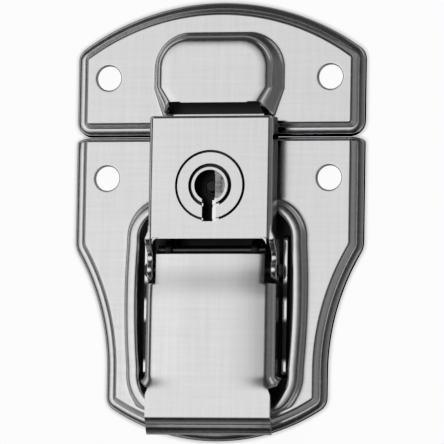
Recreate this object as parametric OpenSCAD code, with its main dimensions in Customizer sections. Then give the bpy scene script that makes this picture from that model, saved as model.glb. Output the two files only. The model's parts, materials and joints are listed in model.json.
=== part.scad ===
// Surface mount case latch: keeper plate, base plate, pull lever and locking hasp.
// Drawn on its mounting face: X across, Y toward the keeper, Z out of the case.
// Inside this file Y counts from the seam where lid and case meet.

/* [Plates] */
// Width of both plates
plate_w = 50; // [40:0.5:70]
// Height of the keeper above the seam
keeper_h = 23; // [18:0.5:35]
// Length of the base below the seam
base_h = 51.8; // [45:0.2:70]
// Radius of the keeper's top edge
keeper_arc = 38.3; // [30:0.1:80]
// Radius of the base's bottom edge
base_arc = 33; // [25:0.1:60]
// Width of the base below its waist
waist_w = 38.2; // [34:0.2:50]
// Radius of the waist's hollow curve
waist_arc = 40.3; // [20:0.1:60]
// Distance of the waist's lower end from the seam
waist_y = 40; // [35:0.5:50]
// Radius of the plates' corners
corner_r = 2.5; // [2.4:0.1:4]
// Radius of the waist's shoulder
shoulder_r = 4; // [3:0.1:8]
// Height of the plates' faces above the case
face_z = 2.4; // [2:0.1:4]
// Thickness of the plates' sheet
sheet = 0.9; // [0.6:0.1:1.2]
// Gap between the two plates
seam = 0.3; // [0.3:0.1:1]

/* [Rivet holes] */
// Diameter of the four holes
hole_d = 4.2; // [3:0.1:5]
// Distance between the holes of a plate
hole_span = 38.5; // [34:0.5:42]
// Distance of the keeper's holes from the seam
keeper_hole_y = 10; // [7:0.1:12]
// Distance of the base's holes from the seam
base_hole_y = 7.2; // [5:0.1:10]

/* [Nose] */
// Half width of the nose at its foot
nose_foot = 11; // [10:0.1:13]
// Half width of the nose at its face
nose_face = 9.3; // [8:0.1:11]
// Height of the nose's face
nose_z = 6.5; // [5:0.1:8]
// Upper end of the nose's face
nose_top = 16.5; // [14:0.1:18]
// Lower end of the nose's face, where the mouth opens
nose_mouth = 5.35; // [5:0.05:7]
// Half width of the hook tongue
tongue_w = 8.4; // [6:0.1:8.6]
// Height of the hook tongue
tongue_z = 6.3; // [5:0.1:7]

/* [Pocket] */
// Half width of the pocket at its upper end
pocket_w = 13.1; // [12.5:0.1:15]
// Half width of the pocket at its lower end
pocket_low_w = 12.85; // [12:0.05:15]
// How far the pocket's sides bulge between their ends
pocket_bow = 0.4; // [0.2:0.1:1]
// Upper end of the pocket, below the seam
pocket_top = 11.5; // [10:0.1:14]
// Lower end of the pocket, below the seam
pocket_end = 46.6; // [42:0.1:50]
// Height of the pocket's rim
rim_z = 3.8; // [3:0.1:4]
// Thickness of the bracket that closes the pocket
bracket_t = 0.8; // [0.6:0.1:1]

/* [Pivots] */
// Distance of the lever's pivot from the seam
pivot_y = 19.8; // [18:0.1:22]
// Height of the lever's pivot
pivot_z = 5.2; // [5:0.1:6]
// Distance between the two pivots along the plate
throw = 3.3; // [3:0.1:4.5]
// How far the hasp's pivot lies nearer to the case, so that the latch holds shut
over_centre = 0.8; // [0.5:0.1:1]
// Diameter of both pins
pin_d = 1.6; // [1.2:0.1:2]
// Radial clearance of a turning pin
pin_clear = 0.05; // [0.02:0.01:0.1]
// Gap between pieces that move past each other
gap = 0.3; // [0.3:0.05:0.5]

/* [Lever] */
// Half width of the lever's neck, between the hasp's ears
neck_w = 9.35; // [8:0.05:9.5]
// Half width of the lever's channel
lever_w = 11.2; // [11:0.1:12]
// Height of the lever's face
lever_z = 7.9; // [7:0.1:9]
// Thickness of the lever's and hasp's sheet
strong_sheet = 1; // [0.8:0.1:1.2]
// Radius of the lever's long bends
lever_bend = 1.8; // [1.1:0.1:2.5]
// Upper edge of the lever's face, below the seam
lever_top = 20.6; // [20:0.1:22]
// Gap between the hasp's ears and the lever's wide channel
wide_gap = 0.5; // [0.5:0.1:2]
// Lower end of the lever's sides, below the seam
lip_start = 43.2; // [40:0.1:45]
// End of the finger lip, below the seam
lip_end = 51.2; // [50:0.1:54]
// Depth of the step before the finger lip
lip_step = 0.9; // [0.6:0.1:1.5]
// Half width of the finger lip
lip_w = 10.75; // [10:0.05:12]

/* [Hasp] */
// Half width of the hasp
hasp_w = 10.6; // [10:0.1:11]
// Radius of the hasp's long bends
hasp_bend = 0.9; // [0.5:0.1:1]
// Height of the hasp's face
hasp_z = 8.6; // [8:0.1:10]
// Upper end of the hasp, beyond the seam
hasp_top = 2.76; // [2.5:0.02:3]
// Lower edge of the hasp's face, below the seam
hasp_end = 18.1; // [16:0.1:18.5]
// Height of the lower edge of the hasp's sides
hasp_low = 4.2; // [4.1:0.1:5]
// Distance of the keyhole from the seam
key_y = 9.1; // [7:0.1:11]
// Diameter of the keyhole
key_d = 5.3; // [4:0.1:6]
// Width of the key's slot
key_slot = 2.7; // [2:0.1:3]
// Length of the key's slot from the keyhole's centre
key_slot_l = 6.2; // [5:0.1:7]
// Diameter of the collar round the keyhole
collar_d = 7.3; // [6.5:0.1:9]
// Diameter of the raised disc
disc_d = 11.9; // [10:0.1:14]

/* [Lock] */
// Travel of the bolt
bolt_travel = 1.9; // [1.5:0.1:2]
// Half width of the bolt's tip
bolt_w = 2.5; // [2:0.1:3]
// Thickness of the bolt
bolt_t = 0.8; // [0.6:0.1:1]

/* [Hidden] */
$fn = 96;
mid = (base_h - keeper_h) / 2;
half_w = plate_w / 2;
edge_y = seam / 2;
under_z = face_z - sheet;
step = 1.25;
edge_in = 2.3;
pa = [-pivot_y, pivot_z];
pb = [-pivot_y - throw, pivot_z - over_centre];
pin_r = pin_d / 2;
ear_r = pin_r + 1.2;
case_z = hasp_low;
floor_t = 0.5;
bolt_z = case_z + floor_t + 0.25;
steel = [0.78, 0.78, 0.8];
dark = [0.5, 0.5, 0.52];
brass = [0.75, 0.62, 0.35];

// Section of the plates' drawn edge, from the underside round to the face: s counts inward, z from the case.
edge_section = [
    [edge_in, under_z], [1.75, under_z - 0.15], [1.15, 0.5], [1, 0], [0, 0], [0.07, 0.55], [0.2, 0.95],
    [0.47, step], [0.78, step + 0.06], [1.02, step + 0.2], [1.72, face_z - 0.2], [1.97, face_z - 0.04],
    [edge_in, face_z]];

// Section of the pocket's rim: s counts outward from the opening.
rim_section = [
    [0, bracket_t], [0, rim_z - 0.75], [0.1, rim_z - 0.36], [0.34, rim_z - 0.1], [0.7, rim_z],
    [1.06, rim_z - 0.1], [1.36, rim_z - 0.38], [1.95, face_z + 0.18], [2.25, face_z - 0.02],
    [2.75, face_z - 0.3], [2.6, under_z + 0.3], [2, under_z - 0.1], [1, under_z + 0.6], [0.8, bracket_t]];

function unit(v) = v / norm(v);
function corner(a, b, c, r, n) =
    let (u = unit(a - b), w = unit(c - b), h = acos(u * w) / 2, o = b + unit(u + w) * r / sin(h))
    let (s = b + u * r / tan(h) - o, e = b + w * r / tan(h) - o, a0 = atan2(s.y, s.x))
    let (t = atan2(e.y, e.x) - a0, turn = t > 180 ? t - 360 : t < -180 ? t + 360 : t)
    [for (i = [0:n]) o + r * [cos(a0 + turn * i / n), sin(a0 + turn * i / n)]];

// A polygon of [x, y, radius] corners, each rounded in n steps.
function rounded(p, n = 6) = [for (i = [0:len(p) - 1])
    let (k = len(p), a = p[(i + k - 1) % k], b = p[i], c = p[(i + 1) % k])
    each (b.z < 0.01 ? [[b.x, b.y]] : corner([a.x, a.y], [b.x, b.y], [c.x, c.y], b.z, n))];

// Outlines are arcs [centre, radius, from, to, side] in turn, joined by straight lines.
// Side is 1 where the outline bulges and -1 where it is hollow.
function on_arc(a, t, inset) = a[0] + (a[1] - a[4] * inset) * [cos(t), sin(t)];
function steps_of(a) = max(3, ceil(abs(a[3] - a[2]) * (2 + sqrt(a[1])) / 36));
function outline(arcs, inset) = [for (a = arcs) let (n = steps_of(a)) for (i = [0:n])
    on_arc(a, a[2] + (a[3] - a[2]) * i / n, inset)];

keeper_mid = keeper_h - keeper_arc;
keeper_cx = half_w - corner_r;
keeper_cy = keeper_mid + sqrt(pow(keeper_arc - corner_r, 2) - pow(keeper_cx, 2));
keeper_a = atan2(keeper_cy - keeper_mid, keeper_cx);
keeper_arcs = [
    [[keeper_cx, edge_y + corner_r], corner_r, -90, 0, 1],
    [[keeper_cx, keeper_cy], corner_r, 0, keeper_a, 1],
    [[0, keeper_mid], keeper_arc, keeper_a, 180 - keeper_a, 1],
    [[-keeper_cx, keeper_cy], corner_r, 180 - keeper_a, 180, 1],
    [[-keeper_cx, edge_y + corner_r], corner_r, 180, 270, 1]];

base_mid = base_arc - base_h;
base_cx = waist_w / 2 - corner_r;
base_cy = base_mid - sqrt(pow(base_arc - corner_r, 2) - pow(base_cx, 2));
base_a = atan2(base_mid - base_cy, base_cx);
waist_x = waist_w / 2 + waist_arc;
shoulder_x = half_w - shoulder_r;
shoulder_y = sqrt(pow(waist_arc + shoulder_r, 2) - pow(waist_x - shoulder_x, 2)) - waist_y;
waist_a = atan2(shoulder_y + waist_y, waist_x - shoulder_x);
base_arcs = [
    [[0, base_mid], base_arc, base_a - 180, -base_a, 1],
    [[base_cx, base_cy], corner_r, -base_a, 0, 1],
    [[waist_x, -waist_y], waist_arc, 180, 180 - waist_a, -1],
    [[shoulder_x, shoulder_y], shoulder_r, -waist_a, 0, 1],
    [[keeper_cx, -edge_y - corner_r], corner_r, 0, 90, 1],
    [[-keeper_cx, -edge_y - corner_r], corner_r, 90, 180, 1],
    [[-shoulder_x, shoulder_y], shoulder_r, 180, 180 + waist_a, 1],
    [[-waist_x, -waist_y], waist_arc, waist_a, 0, -1],
    [[-base_cx, base_cy], corner_r, 180, 180 + base_a, 1]];

pocket_r = [4.5, 6];
bow_ends = [pocket_top + pocket_r[0] + 2, pocket_end - pocket_r[1] - 2];
bow_y = (bow_ends[0] + bow_ends[1]) / 2;
bow_half = (bow_ends[1] - bow_ends[0]) / 2;
bow_r = pow(bow_half, 2) / (2 * pocket_bow);
bow_a = asin(bow_half / bow_r);
bow_x = (pocket_w + pocket_low_w) / 2 + pocket_bow - bow_r;
pocket_arcs = [
    [[pocket_low_w - pocket_r[1], pocket_r[1] - pocket_end], pocket_r[1], -90, 0, 1],
    [[bow_x, -bow_y], bow_r, -bow_a, bow_a, 1],
    [[pocket_w - pocket_r[0], -pocket_top - pocket_r[0]], pocket_r[0], 0, 90, 1],
    [[pocket_r[0] - pocket_w, -pocket_top - pocket_r[0]], pocket_r[0], 90, 180, 1],
    [[-bow_x, -bow_y], bow_r, 180 - bow_a, 180 + bow_a, 1],
    [[pocket_r[1] - pocket_low_w, pocket_r[1] - pocket_end], pocket_r[1], 180, 270, 1]];

function ring_points(arcs, section, way) =
    [for (p = section) for (q = outline(arcs, way * p.x)) [q.x, q.y, p.y]];
function ring_faces(n, rows, wrap) = [for (i = [0:rows - (wrap ? 1 : 2)]) for (j = [0:n - 1])
    let (k = (j + 1) % n, a = i * n, b = ((i + 1) % rows) * n)
    each [[a + j, b + j, b + k], [a + j, b + k, a + k]]];

// A sheet whose edge follows the section and whose face and underside are flat.
module drawn_plate(arcs, section) {
    n = len(outline(arcs, 0));
    rows = len(section);
    polyhedron(ring_points(arcs, section, 1), concat(
        ring_faces(n, rows, false),
        [[for (j = [0:n - 1]) j], [for (j = [n - 1:-1:0]) (rows - 1) * n + j]]));
}

// A closed section led round an opening.
module drawn_rim(arcs, section) {
    n = len(outline(arcs, 0));
    back = [for (i = [len(section) - 1:-1:0]) section[i]];
    polyhedron(ring_points(arcs, back, -1), ring_faces(n, len(section), true));
}

// Draws children given as [y, z] across the part, from -w to w.
module across(w) {
    translate([-w, 0, 0])
        rotate([90, 0, 90])
            linear_extrude(2 * w)
                children();
}

// Draws children given as [x, z] along the part, from y0 to y1.
module along(y0, y1) {
    translate([0, y1, 0])
        rotate([90, 0, 0])
            linear_extrude(y1 - y0)
                children();
}

module cross_pin(at, r, w) {
    translate([-w, at.x, at.y])
        rotate([0, 90, 0])
            cylinder(r = r, h = 2 * w);
}

module rivet_holes(y) {
    for (x = [-hole_span / 2, hole_span / 2])
        translate([x, y, 0])
            cylinder(d = hole_d, h = face_z + 1);
}

module place() {
    translate([0, mid, 0])
        children();
}

module base_plate() {
    color(steel) place() difference() {
        union() {
            difference() {
                drawn_plate(base_arcs, edge_section);
                linear_extrude(face_z + 1)
                    polygon(outline(pocket_arcs, -1.5));
            }
            drawn_rim(pocket_arcs, rim_section);
        }
        rivet_holes(-base_hole_y);
    }
}

lug_r = pin_r + 0.7;
lug_x = neck_w - strong_sheet - gap;
lug_t = 1.2;
wall_x = lever_w + gap + 0.1;
wall_z = 2.6;
wall_ends = [-41, -17];

module pivot_bracket() {
    color(dark) place() difference() {
        union() {
            linear_extrude(bracket_t)
                polygon(outline(pocket_arcs, -0.7));
            for (side = [-1, 1])
                translate([side * (lug_x - lug_t / 2), 0, 0])
                    across(lug_t / 2)
                        union() {
                            translate(pa)
                                circle(lug_r);
                            polygon([[pa.x - lug_r, 0.3], [pa.x - lug_r, pa.y], [pa.x + lug_r, pa.y],
                                     [pa.x + lug_r + 1.6, 0.3]]);
                        }
            for (side = [-1, 1])
                translate([side * (wall_x + bracket_t / 2), 0, 0])
                    across(bracket_t / 2)
                        polygon(rounded([[wall_ends[0], 0.3, 0], [wall_ends[1], 0.3, 0],
                                         [wall_ends[1], wall_z, 1], [wall_ends[0], wall_z, 1]]));
        }
        cross_pin(pa, pin_r + 0.01, neck_w);
    }
}

nose_slope = 1.25;
nose_low = 3;
cheek_y = 8;
cheek_in = 1.7;
nose_r = [6.2, 4.6];

function between(a, b, f) = a + (b - a) * f;

// Outline of the nose at a level: f is 0 at the foot and 1 at the face, d insets it.
function nose_at(f, d) =
    let (w = between(nose_foot, nose_face, f) - d, top = between(nose_top + nose_slope, nose_top, f) - d)
    let (low = between(nose_low, nose_mouth, f) + d, cheek = w - cheek_in + d * 0.2)
    let (r = between(nose_r[0], nose_r[1], f) - d)
    rounded([[w, cheek_y, 1.5], [w, top, r], [-w, top, r], [-w, cheek_y, 1.5],
             [-cheek, low, 0.5], [cheek, low, 0.5]], 8);

module nose_level(z, d) {
    translate([0, 0, z])
        linear_extrude(0.02)
            polygon(nose_at((z - face_z) / (nose_z - face_z), d));
}

module nose_solid(t) {
    hull() {
        nose_level(t > 0 ? under_z - 0.5 : under_z + 0.2, t);
        nose_level(nose_z - 0.9 - t, t);
        nose_level(nose_z - 0.3 - t, t + 0.18);
        nose_level(nose_z - 0.02 - t, t + 0.65);
    }
}

tongue_y = edge_y + 0.3;
window_y = nose_low + 0.1;
hook_y = edge_y + edge_in + 0.15;
mouth_w = 7.9;
hook_w = nose_foot + 2.7;
hook_h = 5;
hook_t = 0.8;

module keeper_plate() {
    color(steel) place() difference() {
        union() {
            drawn_plate(keeper_arcs, edge_section);
            nose_solid(0);
        }
        nose_solid(sheet);
        translate([-mouth_w, -1, face_z + 0.05])
            cube([2 * mouth_w, nose_mouth + 1, nose_z]);
        translate([-tongue_w - gap, -1, -1])
            cube([2 * (tongue_w + gap), window_y + 1, face_z + 3]);
        rivet_holes(keeper_hole_y);
    }
}

// Steel hook behind the keeper: a strip under the sheet, turned up through the window.
module hook_plate() {
    color(dark) place() difference() {
        union() {
            translate([-hook_w, hook_y, under_z - hook_t])
                cube([2 * hook_w, hook_h, hook_t]);
            translate([-tongue_w, tongue_y, under_z - hook_t])
                cube([2 * tongue_w, hook_y + 1 - tongue_y, hook_t]);
            along(tongue_y, tongue_y + sheet)
                polygon(rounded([[-tongue_w, under_z - hook_t, 0], [tongue_w, under_z - hook_t, 0],
                                 [tongue_w, tongue_z, 1.4], [-tongue_w, tongue_z, 1.4]]));
        }
        translate([-bolt_w - 0.4, 0, bolt_z - 0.35])
            cube([2 * bolt_w + 0.8, 2, bolt_t + 0.7]);
    }
}

module lever_pin() {
    color(dark) place()
        cross_pin(pa, pin_r, neck_w - 0.05);
}

function thick(path, t) = concat(
    [for (i = [0:len(path) - 1]) path[i] + side_of(path, i) * t / 2],
    [for (i = [len(path) - 1:-1:0]) path[i] - side_of(path, i) * t / 2]);
function side_of(path, i) =
    let (v = unit(path[min(i + 1, len(path) - 1)] - path[max(i - 1, 0)]))
    [-v.y, v.x];

face_mid = lever_z - strong_sheet / 2;
step_r = 0.75;
step_a = 50;
roll_r = 0.9;
roll_a = 70;
step_run = (lip_step - 2 * step_r * (1 - cos(step_a))) / sin(step_a);
step_way = [-cos(step_a), -sin(step_a)];
roll_at = [roll_r + strong_sheet / 2 - lip_end, face_mid - lip_step - roll_r];
step_two = [roll_at.x + 0.75, face_mid - lip_step + step_r];
step_one = step_two + 2 * step_r * [sin(step_a), -cos(step_a)] - step_run * step_way;
lip_path = concat(
    [[-lip_start, face_mid]],
    [for (a = [0:10:step_a]) step_one + step_r * [-sin(a), cos(a)]],
    [for (a = [step_a:-10:0]) step_two + step_r * [sin(a), -cos(a)]],
    [for (a = [0:10:roll_a]) roll_at + roll_r * [-sin(a), cos(a)]]);

// A channel section: half width w, outer bend r.
module channel(w, r) {
    in_r = max(r - strong_sheet, 0);
    in_w = w - strong_sheet;
    in_z = lever_z - strong_sheet;
    difference() {
        polygon(rounded([[-w, 0, 0], [w, 0, 0], [w, lever_z, r], [-w, lever_z, r]], 10));
        polygon(rounded([[-in_w, -1, 0], [in_w, -1, 0], [in_w, in_z, in_r], [-in_w, in_z, in_r]]));
    }
}

side_low = 1.3;
wide_top = pivot_y + throw + ear_r + wide_gap;
neck_end = -pivot_y + 1.9;
neck_bend = 0.6;
lip_root = -lip_start - 0.6;

module lever_sides() {
    intersection() {
        along(lip_root, -wide_top)
            channel(lever_w, lever_bend);
        across(lever_w + 1)
            polygon(rounded([[lip_root, lever_z + 1, 0], [lip_root, 5.8, 0], [-lip_start + 1.5, side_low, 2],
                             [-wide_top, side_low, 1.5], [-wide_top, lever_z + 1, 0]]));
    }
}

module lever_neck() {
    intersection() {
        along(-wide_top - 2, neck_end)
            channel(neck_w, neck_bend);
        across(neck_w + 1)
            polygon(rounded([[-wide_top - 2, lever_z + 1, 0], [-wide_top - 2, side_low, 0],
                             [-pivot_y - 1, side_low, 1.5], [neck_end, pivot_z - 1.6, 1.5],
                             [neck_end, pivot_z + 1.9, 1.5], [-lever_top, pivot_z + 1.9, 0.2],
                             [-lever_top, lever_z - 0.1, 0.4], [-lever_top - 1.2, lever_z + 1, 0]]));
    }
}

module finger_lip() {
    root = lever_w - lever_bend;
    intersection() {
        across(lip_w)
            polygon(thick(lip_path, strong_sheet));
        linear_extrude(lever_z + 1)
            polygon([[-root, -lip_start], [-root - 0.6, lip_root], [-lip_w, lip_root - 0.7],
                     [-lip_w, -lip_end - 1], [lip_w, -lip_end - 1], [lip_w, lip_root - 0.7],
                     [root + 0.6, lip_root], [root, -lip_start]]);
    }
}

module lever() {
    color(steel) place() difference() {
        union() {
            lever_sides();
            lever_neck();
            finger_lip();
        }
        translate([-neck_w + strong_sheet, -lever_top, lever_z - strong_sheet - 0.6])
            cube([2 * (neck_w - strong_sheet), 5, 4]);
        cross_pin(pa, pin_r + pin_clear, neck_w + 1);
        cross_pin(pb, pin_r + pin_clear, neck_w + 1);
    }
}

ear_out = lever_w;
ear_in = ear_out - strong_sheet;
ear_h = 1.6;
split_y = 16.7;

module hasp_ear() {
    intersection() {
        linear_extrude(hasp_z)
            polygon([[hasp_w - strong_sheet, -split_y + 1], [hasp_w, -split_y + 1], [hasp_w, -split_y],
                     [ear_out, -split_y - 1.3], [ear_out, pb.x - ear_r - 1], [ear_in, pb.x - ear_r - 1],
                     [ear_in, -split_y - 1.6], [hasp_w - strong_sheet, -split_y - 0.4]]);
        across(ear_out + 1)
            union() {
                polygon([[-split_y + 1, hasp_low], [-split_y + 1, hasp_z - 1.2],
                         [-split_y - 0.3, hasp_z - 1.2], [-split_y - 1.3, pb.y + ear_h],
                         [pb.x, pb.y + ear_h], [pb.x, pb.y - ear_h], [pb.x + 2, hasp_low - 1],
                         [-split_y, hasp_low]]);
                translate(pb)
                    circle(ear_r);
            }
    }
}

module keyhole() {
    translate([0, -key_y, hasp_low + 2]) {
        cylinder(d = key_d, h = hasp_z);
        translate([-key_slot / 2, -key_slot_l, 0])
            cube([key_slot, key_slot_l, hasp_z]);
    }
}

module hasp() {
    inner = hasp_w - strong_sheet;
    color(steel) place() difference() {
        union() {
            difference() {
                intersection() {
                    along(-hasp_end, hasp_top)
                        polygon(rounded([[-hasp_w, hasp_low, 0], [hasp_w, hasp_low, 0],
                                         [hasp_w, hasp_z, hasp_bend], [-hasp_w, hasp_z, hasp_bend]]));
                    across(hasp_w + 1)
                        polygon(rounded([[-hasp_end, 0, 0], [hasp_top, 0, 0], [hasp_top, hasp_z, 0.5],
                                         [-hasp_end, hasp_z, 0.3]]));
                }
                translate([-inner, -hasp_end - 1, 0])
                    cube([2 * inner, hasp_end + 1 + hasp_top - strong_sheet, hasp_z - strong_sheet]);
                translate([-hasp_w - 1, hasp_top - strong_sheet - 0.1, 0])
                    cube([2 * hasp_w + 2, 3, hasp_low + gap]);
                for (side = [-1, 1])
                    translate([side * hasp_w - 1.05, -hasp_end - 1, 0])
                        cube([2.1, hasp_end + 1 - split_y, hasp_z - strong_sheet]);
            }
            hasp_ear();
            mirror([1, 0, 0])
                hasp_ear();
            translate([0, -key_y, hasp_z - 0.3]) {
                cylinder(d1 = disc_d + 0.4, d2 = disc_d - 0.1, h = 0.5);
                cylinder(d1 = collar_d + 0.5, d2 = collar_d - 0.1, h = 0.95);
            }
        }
        keyhole();
        cross_pin(pb, pin_r + 0.01, ear_out + 1);
    }
}

module hasp_pin() {
    color(dark) place() {
        cross_pin(pb, pin_r, ear_out + 0.3);
        for (side = [-1, 1])
            translate([side * (ear_out + 0.27), pb.x, pb.y])
                rotate([0, side * 90, 0])
                    cylinder(r1 = pin_r + 0.45, r2 = pin_r + 0.1, h = 0.35);
    }
}

case_w = 8.4;
case_end = 16;
case_top = 0.5;

module lock_case() {
    wall_h = hasp_z - strong_sheet - case_z - 0.05;
    color(dark) place() difference() {
        union() {
            translate([-hasp_w + strong_sheet + 0.02, -split_y + 0.5, case_z])
                cube([2 * (hasp_w - strong_sheet - 0.02), split_y - 0.5 - case_top, floor_t]);
            translate([-case_w, -case_end, case_z])
                cube([2 * case_w, case_end - case_top, wall_h]);
        }
        translate([-case_w + 0.5, -case_end + 0.5, case_z + floor_t])
            cube([2 * case_w - 1, case_end - case_top - 1, 10]);
        translate([-bolt_w - 0.4, -case_top - 1, bolt_z - 0.2])
            cube([2 * bolt_w + 0.8, 2, bolt_t + 0.5]);
    }
}

module key_post() {
    color(dark) place()
        translate([0, -key_y, case_z + floor_t]) {
            cylinder(d = 1.9, h = 2.4);
            cylinder(d = 3, h = 0.3);
        }
}

stud_at = [5.2, -5];

module bolt_stud() {
    color(brass) place()
        translate([stud_at.x, stud_at.y, case_z + floor_t]) {
            cylinder(d = 1.2, h = 1.9);
            translate([0, 0, bolt_t + 0.6])
                cylinder(d = 2.2, h = 0.5);
        }
}

module lock_bolt() {
    tip = -case_top + 0.05;
    front = -case_top - 0.8 - bolt_travel;
    color(brass) place()
        translate([0, 0, bolt_z])
            linear_extrude(bolt_t)
                difference() {
                    polygon(rounded([[-bolt_w, tip, 0.4], [-bolt_w, front, 0], [-6.6, front, 0.4],
                                     [-6.6, -6.6, 0.4], [-2.2, -6.6, 0.3], [-1.6, -5.2, 0.4],
                                     [1.6, -5.2, 0.4], [2.2, -6.6, 0.3], [3.6, -6.6, 0.3],
                                     [3.6, -8.4, 0.5], [6.8, -8.4, 0.5], [6.8, front, 0.4],
                                     [bolt_w, front, 0], [bolt_w, tip, 0.4]], 4));
                    translate(stud_at)
                        circle(d = 1.8);
                    translate([stud_at.x, stud_at.y - bolt_travel])
                        circle(d = 1.8);
                    translate([stud_at.x - 0.9, stud_at.y - bolt_travel])
                        square([1.8, bolt_travel]);
                }
}

module bolt_spring() {
    color(brass) place()
        translate([0, 0, bolt_z])
            linear_extrude(bolt_t)
                polygon(thick([[-4.5, -15.2], [-7, -15.1], [-7.6, -14.4], [-7.65, -12], [-7.4, -9],
                               [-7.1, -7.4], [-7.05, -5.4], [-7.35, -4.4]], 0.25));
}

base_plate();
pivot_bracket();
keeper_plate();
hook_plate();
lever_pin();
lever();
hasp();
hasp_pin();
lock_case();
key_post();
bolt_stud();
bolt_spring();
lock_bolt();
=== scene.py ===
import json
import math
import bpy
import bmesh
from mathutils import Matrix, Vector

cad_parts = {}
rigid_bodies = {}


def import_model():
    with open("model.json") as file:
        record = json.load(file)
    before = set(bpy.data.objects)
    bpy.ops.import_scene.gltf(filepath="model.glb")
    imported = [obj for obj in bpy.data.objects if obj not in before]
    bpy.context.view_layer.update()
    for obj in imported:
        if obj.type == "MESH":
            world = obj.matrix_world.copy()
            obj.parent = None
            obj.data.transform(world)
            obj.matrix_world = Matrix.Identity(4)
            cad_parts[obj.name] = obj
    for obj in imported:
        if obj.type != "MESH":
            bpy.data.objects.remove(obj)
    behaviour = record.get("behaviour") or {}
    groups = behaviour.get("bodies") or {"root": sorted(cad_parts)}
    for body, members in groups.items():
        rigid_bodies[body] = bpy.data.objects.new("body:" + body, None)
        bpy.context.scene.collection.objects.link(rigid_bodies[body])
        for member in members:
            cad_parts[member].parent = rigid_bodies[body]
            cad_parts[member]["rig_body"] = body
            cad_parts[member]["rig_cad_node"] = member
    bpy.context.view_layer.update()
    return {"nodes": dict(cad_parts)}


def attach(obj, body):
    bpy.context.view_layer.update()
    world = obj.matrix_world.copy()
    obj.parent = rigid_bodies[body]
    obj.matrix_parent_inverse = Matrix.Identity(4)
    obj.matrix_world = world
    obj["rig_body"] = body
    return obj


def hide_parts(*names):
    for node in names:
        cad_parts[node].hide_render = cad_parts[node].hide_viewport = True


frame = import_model()
mm = 0.001
seamY = 14.4  # the seam between the plates, counted from the frame's origin
beyond = 14  # half width of cutters that pass right through the latch, in millimetres
weld = 0.000002  # points closer than this become one

# camera, a long lens from the right and a little from below
view = {"aim": (0.38, -0.1, 0.0), "toward": (0.2126, -0.096, 1.0), "away": 900.0, "span": 75.5,
        "roll": -0.003, "sensor": 36, "clip": (0.01, 20)}


def setCamera(s):
    bpy.ops.object.select_all(action="DESELECT")
    bpy.ops.object.camera_add()
    camera = bpy.context.object
    back = Vector(s["toward"]).normalized()
    side = (Vector((1, 0, 0)) - back * back.x).normalized()  # cross lines level, but for a slight roll
    up = back.cross(side)
    side, up = side + up * s["roll"], up - side * s["roll"]
    turn = Matrix((side, up, back)).transposed().to_4x4()
    place = (Vector(s["aim"]) + back * s["away"]) * mm
    camera.matrix_world = Matrix.Translation(place) @ turn
    camera.data.sensor_fit = "HORIZONTAL"
    camera.data.sensor_width = s["sensor"]
    camera.data.lens = s["sensor"] * s["away"] / s["span"]
    camera.data.clip_start, camera.data.clip_end = s["clip"]
    bpy.context.scene.camera = camera
    print("camera set, lens", round(camera.data.lens))


class Strand:
    def __init__(self, tree, socket=None):
        self.tree = tree
        self.socket = socket

    def node(self, kind, settings=None, inputs=None, out=0):  # adds a node and gives back one output
        made = self.tree.nodes.new(kind)
        for name, value in (settings or {}).items():
            setattr(made, name, value)
        for name, value in (inputs or {}).items():
            if isinstance(value, Strand):
                self.tree.links.new(value.socket, made.inputs[name])
            else:
                made.inputs[name].default_value = value
        return Strand(self.tree, made.outputs[out])

    def sum(self, operation, first, second):
        return self.node("ShaderNodeMath", {"operation": operation}, {0: first, 1: second})

    def __add__(self, other):
        return self.sum("ADD", self, other)

    def __radd__(self, other):
        return self.sum("ADD", other, self)

    def __sub__(self, other):
        return self.sum("SUBTRACT", self, other)

    def __rsub__(self, other):
        return self.sum("SUBTRACT", other, self)

    def __mul__(self, other):
        return self.sum("MULTIPLY", self, other)

    def __rmul__(self, other):
        return self.sum("MULTIPLY", other, self)

    def atLeast(self, other):
        return self.sum("MAXIMUM", self, other)

    def rise(self, low, high):  # 0 below low, 1 above high, smooth between
        return self.node("ShaderNodeMapRange", {"interpolation_type": "SMOOTHSTEP"},
                         {"Value": self, "From Min": low, "From Max": high})

    def axes(self):  # the three parts of a vector
        return [self.node("ShaderNodeSeparateXYZ", None, {0: self}, out) for out in range(3)]


# studio: pale floor, a bright ceiling leaning left, and dark walls for the bevels to reflect
studio = {"ceiling": 0.9, "edge": (0.86, 0.97), "lean": 22, "narrow": 0.3, "middle": (0.97, 0.995, 0.1),
          "leftFrom": (0.6, 0.85), "leftHeights": (-0.35, 0.32, 0.15), "leftBox": 0.75,
          "wallFrom": (0.1, 0.7), "rightWall": 0.15, "topWall": 0.04, "lowWall": 0.012,
          "band": (0.1, 0.55, 0.05, 0.6), "bandSoft": (0.1, 0.12), "bandCorners": (0.04, 0.15)}
ground = {"size": 1.2, "drop": 0.00005, "shade": 0.9, "glow": 0.96, "mirrored": 0.22, "contact": 0.0008,
          "rays": 8}
softLight = {"power": 0.5, "size": 0.3, "at": (-0.3, 0.25, 0.5)}


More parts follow.
